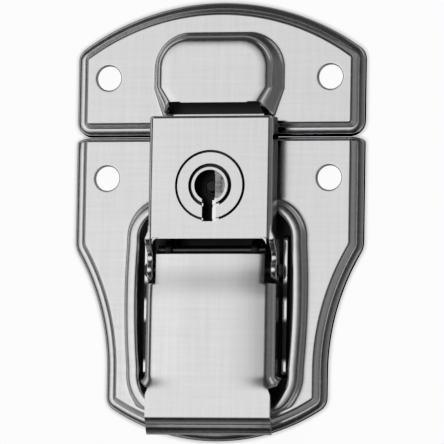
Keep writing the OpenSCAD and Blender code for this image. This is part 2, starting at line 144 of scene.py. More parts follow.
def setWorld(s):
    world = bpy.data.worlds.new("studio")
    bpy.context.scene.world = world
    world.use_nodes = True
    tree = world.node_tree
    tree.nodes.clear()
    w = Strand(tree)
    x, y, z = w.node("ShaderNodeTexCoord").axes()
    lean = math.radians(s["lean"])
    toMiddle = z * math.cos(lean) - x * math.sin(lean) - y * y * s["narrow"]
    ceiling = toMiddle.rise(*s["edge"])
    low, high, more = s["middle"]
    bright = s["ceiling"] + toMiddle.rise(low, high) * more
    low, high, soft = s["leftHeights"]
    left = (0 - x).rise(*s["leftFrom"]) * (z - low).rise(0, soft) * (high - z).rise(0, soft) * s["leftBox"]
    right = x.rise(*s["wallFrom"]) * s["rightWall"]
    top = y.rise(*s["wallFrom"]) * s["topWall"]
    start, stop, faint, strong = s["band"]
    softLow, softHigh = s["bandSoft"]
    corners = (x * y * x * y).rise(*s["bandCorners"]) * (strong - faint) + faint
    band = (z - start).rise(0, softLow) * (stop - z).rise(0, softHigh) * corners  # low boxes in the corners
    wall = right.atLeast(top).atLeast(left).atLeast(band).atLeast(s["lowWall"])
    light = ceiling * bright + (1 - ceiling) * wall
    glow = w.node("ShaderNodeBackground", None, {"Color": light, "Strength": 1.0})
    out = tree.nodes.new("ShaderNodeOutputWorld")
    tree.links.new(glow.socket, out.inputs["Surface"])
    print("world set")


def setFloor(s):
    bpy.ops.object.select_all(action="DESELECT")
    bpy.ops.mesh.primitive_plane_add(size=s["size"], location=(0, 0, -s["drop"]))
    floor = bpy.context.object
    floor.name = "floor"
    paint = bpy.data.materials.new("paleFloor")
    paint.use_nodes = True
    tree = paint.node_tree
    tree.nodes.clear()
    f = Strand(tree)
    seen, gloss, through = (f.node("ShaderNodeLightPath", None, None, ray)
                            for ray in ("Is Camera Ray", "Is Glossy Ray", "Is Transmission Ray"))
    inMirror = gloss.atLeast(through)
    matt = f.node("ShaderNodeBsdfDiffuse", None, {"Color": (s["shade"],) * 3 + (1,)})
    shadow = f.node("ShaderNodeAmbientOcclusion", {"samples": s["rays"]}, {"Distance": s["contact"]}, "AO")
    pale = shadow - inMirror * (1 - s["mirrored"])  # a thin shadow under the edges, darker in the metal
    white = f.node("ShaderNodeEmission", None, {"Color": pale, "Strength": 1.0})
    part = seen.atLeast(inMirror) * s["glow"]
    mixed = f.node("ShaderNodeMixShader", None, {0: part, 1: matt, 2: white})
    out = tree.nodes.new("ShaderNodeOutputMaterial")
    tree.links.new(mixed.socket, out.inputs["Surface"])
    floor.data.materials.append(paint)
    print("floor set")


def setLamp(s):
    bpy.ops.object.light_add(type="AREA", location=s["at"])
    lamp = bpy.context.object
    lamp.name = "softLamp"
    lamp.data.shape = "DISK"
    lamp.data.size = s["size"]
    lamp.data.energy = s["power"]
    lamp.visible_glossy = False
    lamp.rotation_euler = Vector(s["at"]).to_track_quat("Z", "Y").to_euler()
    print("lamp set")


setCamera(view)
setWorld(studio)
setFloor(ground)
setLamp(softLight)
bpy.context.scene.view_settings.view_transform = "Standard"

finish = {"detail": 4.0, "crossing": 0.7, "cloudDetail": 3.0, "cloudPart": 0.5, "uneven": 0.5,
          "relief": 0.05, "depth": 0.00002}
nickel = {"tint": (0.8, 0.8, 0.81), "rough": 0.2, "grain": (1500, 70, 1500), "across": (70, 1500, 1500),
          "fleck": 0.3, "cloud": 90}
# painted shade for the lock's gaps and hole, and a painted highlight for its slot
lockPaintedShade = {"middle": 5.3, "near": 3.2, "far": 6.1, "top": 8.45, "soft": 0.05, "fade": 0.1, "slot": 1.5,
            "slotTop": 2.1, "gap": 0.96, "hole": (0.6, 1.5), "bright": 0.25}
# rubbed wear on the walls' tops, which also paints in glints
wallWearAndGlints = {"heights": (0.00235, 0.00255, 0.0045, 0.0005), "broken": (-0.25, -0.05), "soft": 0.6,
            "patches": ((-10.5, -3), (-17, -13.5), (-27.7, -24)), "bright": 0.85, "polish": 0.28}
# near-black tint that paints the shade inside the latch onto its inner parts
paintedShadeSteel = {"tint": (0.05, 0.05, 0.052), "rough": 0.42, "grain": (2600, 2600, 2600), "fleck": 0.3,
             "cloud": 160, "wear": wallWearAndGlints}
pinSteel = {"tint": (0.12, 0.12, 0.122), "rough": 0.32, "grain": (400, 6000, 6000), "fleck": 0.2,
            "cloud": 200}
lockBrass = {"tint": (0.42, 0.3, 0.12), "rough": 0.35, "grain": (700, 5000, 5000), "fleck": 0.15,
             "cloud": 200}


def noise(m, vector, scale, detail):  # noise about zero
    return m.node("ShaderNodeTexNoise", None, {"Vector": vector, "Scale": scale, "Detail": detail}) - 0.5


def drawnGrain(m, place, scale):
    drawn = m.node("ShaderNodeMapping", None, {"Vector": place, "Scale": scale})
    return noise(m, drawn, 1.0, finish["detail"])


def wearAndGlintMask(place, cloud, s):  # 1 where the walls' tops are rubbed bright, in patches: wear that also gives painted glints
    y, z = place.axes()[1:]
    along, soft = y * (1 / mm), s["soft"]
    patches = 0
    for start, stop in s["patches"]:
        patches = patches + along.rise(start - soft, start + soft) * along.rise(stop + soft, stop - soft)
    low, high, top, fade = s["heights"]
    return z.rise(low, high) * (top - z).rise(0, fade) * cloud.rise(*s["broken"]) * patches


def paintedGapShade(place, cloud, grain, s):  # painted shade low in the lock's gaps and hole, and a painted highlight low in the slot
    x, y, z = (part * (1 / mm) for part in place.axes())
    middle, near, soft = s["middle"], s["near"], s["soft"]
    radius = place.sum("SQRT", x * x + (y - middle) * (y - middle), 0)
    slot = (s["slot"] - x).rise(0, soft) * (x + s["slot"]).rise(0, soft)
    clear = slot * (middle - s["slotTop"] - y).rise(0, s["fade"])  # the slot gets no painted shade, but a painted highlight
    least, clouded = s["hole"]
    gap = radius.rise(near, near + soft) * (s["far"] - radius).rise(0, soft) * (1 - clear) * s["gap"]
    hole = (near - radius).rise(0, soft) * (1 - clear) * (least + cloud * clouded + grain)
    return (s["top"] - z).rise(0, s["fade"]) * (gap + hole - clear * s["bright"])


def metal(name, s):  # fine drawn grain over soft clouds, in colour, gloss and relief
    paint = bpy.data.materials.new(name)
    paint.use_nodes = True
    tree = paint.node_tree
    shader = tree.nodes["Principled BSDF"]
    m = Strand(tree)
    place = m.node("ShaderNodeTexCoord", None, None, "Object")
    grain = drawnGrain(m, place, s["grain"])
    if "across" in s:
        grain = (grain + drawnGrain(m, place, s["across"])) * finish["crossing"]
    cloud = noise(m, place, s["cloud"], finish["cloudDetail"])
    shade = 1 + (grain + cloud * finish["cloudPart"]) * s["fleck"]
    tint, rough = s["tint"], s["rough"]
    # rubbed wear on the walls' tops, brightened as painted glints
    if "wear" in s:
        wornAndGlinting = wearAndGlintMask(place, cloud, s["wear"])
        tint = [part + wornAndGlinting * (s["wear"]["bright"] - part) for part in tint]
        rough = rough - wornAndGlinting * s["wear"]["polish"]
    # painted shade in the lock's gaps and hole, and a painted highlight in its slot
    if "soil" in s:
        shade = shade * (1 - paintedGapShade(place, cloud, grain, s["soil"]))
    colour = m.node("ShaderNodeCombineColor", None, {i: shade * part for i, part in enumerate(tint)})
    gloss = rough * (1 + (grain + cloud) * finish["uneven"])
    relief = m.node("ShaderNodeBump", None, {"Height": grain, "Strength": finish["relief"],
                                             "Distance": finish["depth"]})
    shader.inputs["Metallic"].default_value = 1
    for link, socket in ((colour, "Base Color"), (gloss, "Roughness"), (relief, "Normal")):
        tree.links.new(link.socket, shader.inputs[socket])
    return paint


plated = metal("nickelPlate", nickel)
# the hasp's nickel, with painted shade in the lock's gaps and hole
locked = metal("nickelWithPaintedShade", {**nickel, "soil": lockPaintedShade})
# the inner parts get the near-black steel, as painted shade
inside = metal("paintedShadeSteel", paintedShadeSteel)
pinned = metal("pinSteel", pinSteel)
brass = metal("lockBrass", lockBrass)
print("materials made")


def deselectAll():
    if bpy.context.object and bpy.context.object.mode != "OBJECT":
        bpy.ops.object.mode_set(mode="OBJECT")
    bpy.ops.object.select_all(action="DESELECT")


def makeActive(piece):
    deselectAll()
    piece.select_set(True)
    bpy.context.view_layer.objects.active = piece


def editing(piece, kind="FACE"):
    makeActive(piece)
    bpy.ops.object.mode_set(mode="EDIT")
    bpy.ops.mesh.select_mode(type=kind)
    return bmesh.from_edit_mesh(piece.data)


def editingAll(piece):  # edit mode with every face selected
    editing(piece)
    bpy.ops.mesh.select_all(action="SELECT")


def doneEditing():
    bpy.ops.object.mode_set(mode="OBJECT")


def pickFaces(piece, test):  # selects faces by their middle, in millimetres, and normal
    mesh = editing(piece)
    bpy.ops.mesh.select_all(action="DESELECT")
    for face in mesh.faces:
        middle = face.calc_center_median() / mm
        if test(middle, face.normal):
            face.select_set(True)
    bmesh.update_edit_mesh(piece.data)


def pickEdges(piece, test):  # selects edges by their two ends, in millimetres
    mesh = editing(piece, "EDGE")
    bpy.ops.mesh.select_all(action="DESELECT")
    for edge in mesh.edges:
        if test(edge.verts[0].co / mm, edge.verts[1].co / mm, edge):
            edge.select_set(True)
    bmesh.update_edit_mesh(piece.data)


def arcPoints(cx, cy, radius, start, stop, steps):
    turns = [math.radians(start + (stop - start) * i / steps) for i in range(steps + 1)]
    return [(cx + radius * math.cos(t), cy + radius * math.sin(t)) for t in turns]


def cornered(corners, steps=8):  # rounds each (x, y, radius) corner of a loop
    loop = []
    for i, (x, y, radius) in enumerate(corners):
        here = Vector((x, y))
        before = (Vector(corners[i - 1][:2]) - here).normalized()
        after = (Vector(corners[(i + 1) % len(corners)][:2]) - here).normalized()
        if radius < 0.01:
            loop.append((x, y))
            continue
        half = before.angle(after) / 2
        middle = here + (before + after).normalized() * radius / math.sin(half)
        first = here + before * radius / math.tan(half) - middle
        last = here + after * radius / math.tan(half) - middle
        start = math.atan2(first.y, first.x)
        stop = start + (math.atan2(last.y, last.x) - start + math.pi) % (2 * math.pi) - math.pi
        loop += arcPoints(middle.x, middle.y, radius, math.degrees(start), math.degrees(stop), steps)
    return loop


def withoutRepeats(points, least=0.004):
    kept = []
    for p in points:
        if not kept or math.dist(p, kept[-1]) > least:
            kept.append(p)
    if math.dist(kept[0], kept[-1]) < least:
        kept.pop()
    return kept


def outlineFace(name, points, z):  # one flat face on an outline given in millimetres
    points = withoutRepeats(points)
    deselectAll()
    bpy.ops.mesh.primitive_circle_add(vertices=len(points), radius=mm, fill_type="NGON")
    piece = bpy.context.object
    piece.name = name
    for vertex, (x, y) in zip(piece.data.vertices, points):
        vertex.co = (x * mm, y * mm, z * mm)
    return piece


def stepIn(piece, profile):  # insets the face along a profile of (inward, height) points and opens it
    editingAll(piece)
    for (s0, z0), (s1, z1) in zip(profile, profile[1:]):
        inward = max(abs(s1 - s0), 0.002)
        bpy.ops.mesh.inset(thickness=inward * mm, depth=(z1 - z0) * mm, use_even_offset=True)
    bpy.ops.mesh.delete(type="ONLY_FACE")
    doneEditing()


def growRings(piece, rings):  # insets the face and lays each new loop on the next ring, in millimetres
    editingAll(piece)
    last = [v.co.copy() for v in piece.data.vertices]
    for ring in rings:
        bpy.ops.mesh.inset(thickness=0.001 * mm)
        mesh = bmesh.from_edit_mesh(piece.data)
        top = list(next(f for f in mesh.faces if f.select).verts)
        start = min(range(len(last)), key=lambda i: (last[i] - top[0].co).length)
        last = [Vector(p) * mm for p in ring]
        for i, vertex in enumerate(top):
            vertex.co = last[(start + i) % len(last)]
        bmesh.update_edit_mesh(piece.data)
    doneEditing()


def joined(name, pieces):
    deselectAll()
    for piece in pieces:
        piece.select_set(True)
    bpy.context.view_layer.objects.active = pieces[0]
    bpy.ops.object.join()
    pieces[0].name = name
    return pieces[0]


def fillLevel(piece, z):  # fills the flat face between all open loops at one height
    level = lambda v: abs(v.z - z) < 0.002
    pickEdges(piece, lambda a, b, e: level(a) and level(b) and len(e.link_faces) < 2)
    bpy.ops.mesh.fill(use_beauty=True)
    doneEditing()


def bisectBy(piece, at, normal, test):
    pickFaces(piece, test)
    bpy.ops.mesh.bisect(plane_co=[v * mm for v in at], plane_no=normal)
    doneEditing()


def removeFaces(piece, test):
    pickFaces(piece, test)
    bpy.ops.mesh.delete(type="FACE")
    doneEditing()


def within(point, loop):  # whether a point lies inside an outline
    inLoop = False
    for (x0, y0), (x1, y1) in zip(loop, loop[1:] + loop[:1]):
        if (y0 > point.y) != (y1 > point.y) and point.x < x0 + (point.y - y0) * (x1 - x0) / (y1 - y0):
            inLoop = not inLoop
    return inLoop


def flipped(piece):
    editingAll(piece)
    bpy.ops.mesh.flip_normals()
    doneEditing()


def applied(piece, kind, **settings):
    makeActive(piece)
    modifier = piece.modifiers.new(kind.title(), kind)
    for name, value in settings.items():
        setattr(modifier, name, value)
    bpy.ops.object.modifier_apply(modifier=modifier.name)


def combined(piece, cutter, operation="DIFFERENCE"):
    applied(piece, "BOOLEAN", operation=operation, object=cutter, solver="EXACT")
    bpy.data.objects.remove(cutter)


def bevelled(piece, width, segments, angle):  # rounds the edges that turn by more than the angle
    applied(piece, "BEVEL", width=width * mm, segments=segments, limit_method="ANGLE",
            angle_limit=math.radians(angle))


def extruded(piece, way):  # makes a closed solid of one flat face
    editingAll(piece)
    bpy.ops.mesh.extrude_region_move(TRANSFORM_OT_translate={"value": way})
    bpy.ops.mesh.select_all(action="SELECT")
    bpy.ops.mesh.normals_make_consistent(inside=False)
    doneEditing()
    return piece


def prismAcross(points, halfWidth):  # a solid from (y, z) points, extruded across the latch
    piece = outlineFace("cutter", points, 0)
    for vertex in piece.data.vertices:
        vertex.co = (-halfWidth * mm, vertex.co.x, vertex.co.y)
    return extruded(piece, (2 * halfWidth * mm, 0, 0))


def upright(points, low, high):  # a solid from (x, y) points between two heights
    return extruded(outlineFace("upright", points, low), (0, 0, (high - low) * mm))


def boxSolid(low, high):
    deselectAll()
    bpy.ops.mesh.primitive_cube_add(size=1)
    piece = bpy.context.object
    for vertex in piece.data.vertices:
        vertex.co = [(lo + (c + 0.5) * (hi - lo)) * mm for c, lo, hi in zip(vertex.co, low, high)]
    return piece


def pinCutter(y, z, radius, halfWidth):
    deselectAll()
    bpy.ops.mesh.primitive_cylinder_add(vertices=40, radius=radius * mm, depth=2 * halfWidth * mm,
                                        location=(0, y * mm, z * mm), rotation=(0, math.pi / 2, 0))
    bpy.ops.object.transform_apply(location=True, rotation=True, scale=True)
    return bpy.context.object


def softened(piece, angle=35):  # smooth shading that keeps flat faces flat
    makeActive(piece)
    bpy.ops.object.shade_smooth_by_angle(angle=math.radians(angle))
    applied(piece, "WEIGHTED_NORMAL", mode="FACE_AREA", weight=90, keep_sharp=True)


def finishPiece(piece, body, nodes, paint):
    piece.data.materials.clear()
    piece.data.materials.append(paint)
    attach(piece, body)
    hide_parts(*nodes)
    print(piece.name, "done,", len(piece.data.polygons), "faces")


# edge of both plates: a skirt, a narrow ledge and a slope up to the face
plateEdge = [(0, 0), (0.02, 0.45), (0.06, 0.62), (0.13, 0.77), (0.24, 0.9), (0.38, 0.98), (0.55, 1.045),
             (0.75, 1.105), (0.95, 1.15), (1.1, 1.173), (1.22, 1.181), (1.3, 1.2), (1.35, 1.25),
             (1.39, 1.31), (1.82, 2.15), (1.87, 2.23), (1.93, 2.29), (2.0, 2.33), (2.08, 2.355),
             (2.18, 2.377), (2.28, 2.393), (2.36, 2.4), (2.42, 2.4)]
rivetHole = {"radius": 2.1, "span": 38.5,
             "edge": [(0, 2.4), (0.25, 2.4), (0.31, 2.385), (0.39, 2.32), (0.43, 2.2), (0.432, 1.5)]}


def rivetHoles(s, y):
    made = []
    for x in (-s["span"] / 2, s["span"] / 2):
        rim = s["radius"] + s["edge"][-1][0]
        piece = outlineFace("hole", arcPoints(x, y, rim, 0, 360, 48), s["edge"][0][1])
        stepIn(piece, s["edge"])
        made.append(piece)
    return made


def sheetSkin(piece, thickness):  # gives the open skin the thickness of its sheet
    editingAll(piece)
    bpy.ops.mesh.remove_doubles(threshold=weld)
    bpy.ops.mesh.normals_make_consistent(inside=False)
    doneEditing()
    flat = max(piece.data.polygons, key=lambda p: p.area)
    if flat.normal.z < 0:
        flipped(piece)
    applied(piece, "SOLIDIFY", thickness=thickness * mm, offset=-1, use_even_offset=False,
            use_quality_normals=True)


keeper = {"halfWidth": 25, "height": 23, "arc": 40.8, "corner": 2.5, "gap": 0.15, "holeY": 10, "sheet": 0.8,
          "barHalf": 9.2, "barEdge": 0.1}
nose = {"foot": 11.4, "bend": 8.0, "top": 17.75, "cheek": 9.8, "low": 3.05, "corner": 6.4, "level": 2.4,
        "topLean": 0.8, "bendLean": 0.1, "lowLean": 1.24, "cornerLean": 0.8, "cornerLeast": 2.5,
        "bendRound": 1.2, "cheekRound": 0.4, "rise": 4.4, "flare": 0.5, "round": 1.5, "crown": 14,
        "slope": 75, "soft": 6, "skirt": 0.3, "mouth": 5.35, "mouthHalf": 7.9, "mouthGap": 0.15,
        "mouthReach": 2.5, "window": (8.7, 3.1), "windowReach": 12, "bridge": 3.75}


def keeperOutline(s):
    side = s["halfWidth"] - s["corner"]
    middle = s["height"] - s["arc"]
    high = middle + math.sqrt((s["arc"] - s["corner"]) ** 2 - side ** 2)
    turn = math.degrees(math.atan2(high - middle, side))
    low = s["gap"] + s["corner"]
    loop = arcPoints(side, low, s["corner"], -90, 0, 14) + arcPoints(side, high, s["corner"], 0, turn, 10)
    loop += arcPoints(0, middle, s["arc"], turn, 180 - turn, 60)
    loop += arcPoints(-side, high, s["corner"], 180 - turn, 180, 10)
    loop += arcPoints(-side, low, s["corner"], 180, 270, 14)
    return [(x, y + seamY) for x, y in loop]


def noseProfile(s):  # flare at the foot, straight wall, round shoulder, faintly crowned face
    slope, soft = math.radians(s["slope"]), math.radians(s["soft"])
    turns = [slope * i / 5 for i in range(6)]
    profile = [(s["flare"] * math.sin(t), s["flare"] * (1 - math.cos(t))) for t in turns]
    foot, high = profile[-1]
    run = s["rise"] - high - s["round"] * (1 - math.cos(slope))
    profile += [(foot + run * part / math.tan(slope), high + run * part) for part in (0.34, 0.67, 1)]
    for radius, start, stop, steps in ((s["round"], slope, soft, 9), (s["crown"], soft, 0, 5)):
        foot, high = profile[-1]
        for i in range(1, steps + 1):
            left = start + (stop - start) * i / steps
            profile.append((foot + radius * (math.sin(start) - math.sin(left)),
                            high + radius * (math.cos(left) - math.cos(start))))
    return [(a, b + s["level"]) for a, b in profile]


def noseRing(s, inward):
    side, top = s["foot"] - inward, s["top"] - s["topLean"] * inward
    bend, cheek = s["bend"] - s["bendLean"] * inward, s["cheek"] - inward
    low = min(s["low"] + s["lowLean"] * inward, s["mouth"] - s["mouthGap"])
    corner = max(s["corner"] - s["cornerLean"] * inward, s["cornerLeast"])
    bendRound, cheekRound = s["bendRound"], s["cheekRound"]
    loop = cornered([(side, bend, bendRound), (side, top, corner), (-side, top, corner),
                     (-side, bend, bendRound), (-cheek, low, cheekRound), (cheek, low, cheekRound)], 14)
    return [(x, y + seamY) for x, y in loop]


def buildKeeper():
    s, n = keeper, nose
    skin = outlineFace("keeperSkin", keeperOutline(s), 0)
    stepIn(skin, plateEdge)
    hood = outlineFace("hood", noseRing(n, -n["skirt"]), n["level"])
    growRings(hood, [[(x, y, z) for x, y in noseRing(n, inward)] for inward, z in noseProfile(n)])
    piece = joined("keeperPlate", [skin, hood] + rivetHoles(rivetHole, s["holeY"] + seamY))
    fillLevel(piece, n["level"])
    mouthY, ring = n["mouth"] + seamY, noseRing(n, 0.01 - n["skirt"])
    front = lambda m, normal: m.y < mouthY + n["mouthReach"] and within(m, ring)
    bisectBy(piece, (0, mouthY, 0), (0, 1, 0), front)
    for x in (-n["mouthHalf"], n["mouthHalf"]):
        bisectBy(piece, (x, 0, 0), (1, 0, 0), front)
    removeFaces(piece, lambda m, normal: m.y < mouthY and abs(m.x) < n["mouthHalf"] and within(m, ring))
    half, high = n["window"]
    low = n["level"] + 0.01
    flat = lambda m, normal: m.z < low and m.y < seamY + n["windowReach"]
    for x in (-half, half):
        bisectBy(piece, (x, 0, 0), (1, 0, 0), flat)
    bisectBy(piece, (0, high + seamY, 0), (0, 1, 0), lambda m, normal: flat(m, normal) and abs(m.x) < half)
    removeFaces(piece, lambda m, normal: m.z < low and abs(m.x) < half and m.y < seamY + high)
    sheetSkin(piece, s["sheet"])
    bar = boxSolid((-s["barHalf"], high + seamY, n["level"] - s["sheet"]),
                   (s["barHalf"], n["bridge"] + seamY, n["level"]))
    applied(bar, "BEVEL", width=s["barEdge"] * mm, segments=2)
    piece = joined("keeperPlate", [piece, bar])
    softened(piece)
    finishPiece(piece, "base", ["keeper_plate"], plated)


base = {"halfWidth": 25, "height": 51.8, "arc": 33, "waist": 19.1, "waistArc": 40.3, "waistY": 40,
        "corner": 2.5, "shoulder": 4, "gap": 0.15, "holeY": 7.2, "seamEdge": 0.35, "sheet": 0.7}
pocket = {"topHalf": 13.1, "endHalf": 12.85, "bow": 0.4, "bowGap": 1, "top": 13.0, "end": 46.6,
          "topCorner": 4.5, "endCorner": 6, "footGap": 0.06, "footLean": 0.3,
          "rim": [(3.1, 2.4), (2.95, 2.402), (2.7, 2.415), (2.5, 2.44), (2.35, 2.475), (2.25, 2.53),
                  (2.17, 2.63), (2.1, 2.8), (2.03, 3.05), (1.97, 3.25), (1.92, 3.37), (1.85, 3.46),
                  (1.75, 3.53), (1.62, 3.575), (1.45, 3.61), (1.25, 3.645), (1.0, 3.68), (0.8, 3.698),
                  (0.6, 3.7), (0.45, 3.685), (0.3, 3.655), (0.18, 3.61), (0.09, 3.545), (0.03, 3.45),
                  (0, 3.3), (0, 0.85)]}


def baseOutline(s):
    low = s["arc"] - s["height"]
    cx = s["waist"] - s["corner"]  # lower corner
    cy = low - math.sqrt((s["arc"] - s["corner"]) ** 2 - cx ** 2)
    a = math.degrees(math.atan2(low - cy, cx))
    wx = s["waist"] + s["waistArc"]  # hollow side
    sx = s["halfWidth"] - s["shoulder"]  # shoulder
    sy = math.sqrt((s["waistArc"] + s["shoulder"]) ** 2 - (wx - sx) ** 2) - s["waistY"]
    w = math.degrees(math.atan2(sy + s["waistY"], wx - sx))
    kx, ky = s["halfWidth"] - s["corner"], -s["gap"] - s["corner"]  # upper corner
    loop = arcPoints(0, low, s["arc"], a - 180, -a, 44) + arcPoints(cx, cy, s["corner"], -a, 0, 10)
    loop += arcPoints(wx, -s["waistY"], s["waistArc"], 180, 180 - w, 26)
    loop += arcPoints(sx, sy, s["shoulder"], -w, 0, 8)
    loop += arcPoints(kx, ky, s["corner"], 0, 90, 14) + arcPoints(-kx, ky, s["corner"], 90, 180, 14)
    loop += arcPoints(-sx, sy, s["shoulder"], 180, 180 + w, 8)
    loop += arcPoints(-wx, -s["waistY"], s["waistArc"], w, 0, 26)
    loop += arcPoints(-cx, cy, s["corner"], 180, 180 + a, 10)
    return [(x, y + seamY) for x, y in loop]


def pocketOutline(s, out):
    high, low, r0, r1 = s["topHalf"], s["endHalf"], s["topCorner"], s["endCorner"]
    bowTop, bowEnd = s["top"] + r0 + s["bowGap"], s["end"] - r1 - s["bowGap"]
    side = []
    for i in range(11):  # bowed side, from its lower end up
        t = i / 5 - 1
        side.append(((high + low) / 2 + (high - low) / 2 * t + s["bow"] * (1 - t * t) + out,
                     -(bowTop + bowEnd) / 2 + (bowEnd - bowTop) / 2 * t))
    loop = arcPoints(low - r1, r1 - s["end"], r1 + out, -90, 0, 18) + side
    loop += arcPoints(high - r0, -s["top"] - r0, r0 + out, 0, 90, 16)
    loop += arcPoints(r0 - high, -s["top"] - r0, r0 + out, 90, 180, 16)
    loop += [(-x, y) for x, y in reversed(side)]
    loop += arcPoints(r1 - low, r1 - s["end"], r1 + out, 180, 270, 18)
    middle = base["arc"] - base["height"]
    limit = base["arc"] - plateEdge[-1][0] - s["footGap"] - s["footLean"] * (s["rim"][0][0] - out)
    kept = []
    for x, y in loop:  # the rim's foot stays inside the plate's lower edge
        far = math.hypot(x, y - middle)
        near = limit / far if y < middle and far > limit else 1
        kept.append((x * near, middle + (y - middle) * near + seamY))
    return kept


def buildBase():
    s, p = base, pocket
    skin = outlineFace("baseSkin", baseOutline(s), 0)
    stepIn(skin, plateEdge)
    start = seamY - s["gap"]
    for vertex in skin.data.vertices:  # steeper along the seam
        if vertex.co.y > (start - s["corner"] - 0.01) * mm:
            vertex.co.y = start * mm + (vertex.co.y - start * mm) * s["seamEdge"]
    foot, level = p["rim"][0]
    rim = outlineFace("rim", pocketOutline(p, foot), level)
    growRings(rim, [[(x, y, z) for x, y in pocketOutline(p, out)] for out, z in p["rim"][1:]])
    removeFaces(rim, lambda m, normal: m.z < p["rim"][-1][1] + 0.01)
    piece = joined("basePlate", [skin, rim] + rivetHoles(rivetHole, seamY - s["holeY"]))
    fillLevel(piece, level)
    sheetSkin(piece, s["sheet"])
    softened(piece)
    finishPiece(piece, "base", ["base_plate"], plated)


lever = {"halfWidth": 11.2, "bend": 1.8, "neckHalf": 9.35, "face": 7.9, "sheet": 1.0, "flangeLow": 1.3,
         "top": -20.6, "wideTop": -25.6, "neckEnd": -17.9, "lipStart": -43.2, "lipHalf": 10.75,
         "lipEnd": -51.2, "lipStep": 0.9, "lipFlat": 0.4, "lipLean": 11, "lipNeck": 10.3,
         "narrows": (-40.6, 2.8), "opens": (-41.0, 2.8), "widens": 1.4, "step": (0.75, 50),
         "roll": (1.2, 68), "pivot": (-19.8, 5.2), "link": (-23.1, 4.4), "bore": 0.85, "dip": 0.35,
         "dipFrom": (-28.5, 6.5), "crown": 0.5, "crownFrom": (3, 8), "bendPart": 0.7, "cells": (8, 8, 6),
         "spacing": 0.35, "cheekWide": 0.2, "cheekTop": (0.6, 1.2), "neckOpen": 5.9, "edge": 0.16}


def smooth(t):
    t = min(max(t, 0), 1)
    return t * t * (3 - 2 * t)


def leverPath(s):  # middle of the sheet from the lip's end up to the pivot, as (y, z)
    mid = s["face"] - s["sheet"] / 2
    r, turn = s["step"][0], math.radians(s["step"][1])
    rollR, rollTurn = s["roll"][0], math.radians(s["roll"][1])
    lean = math.radians(s["lipLean"])
    run = (s["lipStep"] - r * (1 + math.cos(lean) - 2 * math.cos(turn))) / math.sin(turn)
    rollY = rollR + s["sheet"] / 2 + s["lipEnd"]
    rollZ = mid - s["lipStep"] - rollR * math.cos(lean) - s["lipFlat"] * math.sin(lean)
    lowY = rollY + s["lipFlat"] * math.cos(lean) - (rollR + r) * math.sin(lean)
    lowZ = mid - s["lipStep"] + r * math.cos(lean)
    highY = lowY + 2 * r * math.sin(turn) + run * math.cos(turn)
    path = []
    for i in range(9, -1, -1):
        t = lean + (rollTurn - lean) * i / 9
        path.append((rollY - rollR * math.sin(t), rollZ + rollR * math.cos(t)))
    for i in range(9):
        t = lean + (turn - lean) * i / 8
        path.append((lowY + r * math.sin(t), lowZ - r * math.cos(t)))
    for i in range(8, -1, -1):
        t = turn * i / 8
        path.append((highY - r * math.sin(t), mid - r + r * math.cos(t)))
    y = highY
    dipStart, dipRun = s["dipFrom"]
    while y < s["neckEnd"] + 1:
        y += s["spacing"]
        path.append((y, mid - s["dip"] * smooth((y - dipStart) / dipRun)))  # lower toward the pivot
    return path


def leverPoint(s, path, i, j):  # where column i, from the middle, and row j of the sheet lie once bent
    y, z = path[j]
    ahead, behind = path[min(j + 1, len(path) - 1)], path[max(j - 1, 0)]
    along = Vector((ahead[0] - behind[0], ahead[1] - behind[1])).normalized()
    flat, mid = s["halfWidth"] - s["bend"], s["bend"] - s["sheet"] / 2
    bent = flat + mid * math.pi / 2
    full = bent + s["face"] - s["sheet"] / 2 - mid - s["flangeLow"]
    opened = smooth((s["opens"][0] - y) / s["opens"][1])  # 0 on the channel, 1 on the flat lip
    reach = full + (s["lipNeck"] - full) * smooth((s["narrows"][0] - y) / s["narrows"][1])
    reach += (s["lipHalf"] - s["lipNeck"]) * smooth((s["lipStart"] - y) / s["widens"])
    curve = min(bent, flat + (reach - flat) * s["bendPart"])
    flatCells, bendCells, sideCells = s["cells"]
    k = abs(i)
    if k <= flatCells:
        u = flat * k / flatCells
    elif k <= flatCells + bendCells:
        u = flat + (curve - flat) * (k - flatCells) / bendCells
    else:
        u = curve + (reach - curve) * (k - flatCells - bendCells) / sideCells
    x, drop = u, 0
    if u > flat:
        radius = mid / max(1 - opened, 0.001)
        turn = (min(u, bent) - flat) / radius
        x = flat + radius * math.sin(turn) + max(u - bent, 0) * math.cos(turn)
        drop = radius * (1 - math.cos(turn)) + max(u - bent, 0) * math.sin(turn)
    start, run = s["crownFrom"]
    z -= s["crown"] * (1 - opened) * (max(min(u, flat) - start, 0) / run) ** 2
    across = math.copysign(x, i) if i else 0
    return across * mm, (y + drop * along.y + seamY) * mm, (z - drop * along.x) * mm


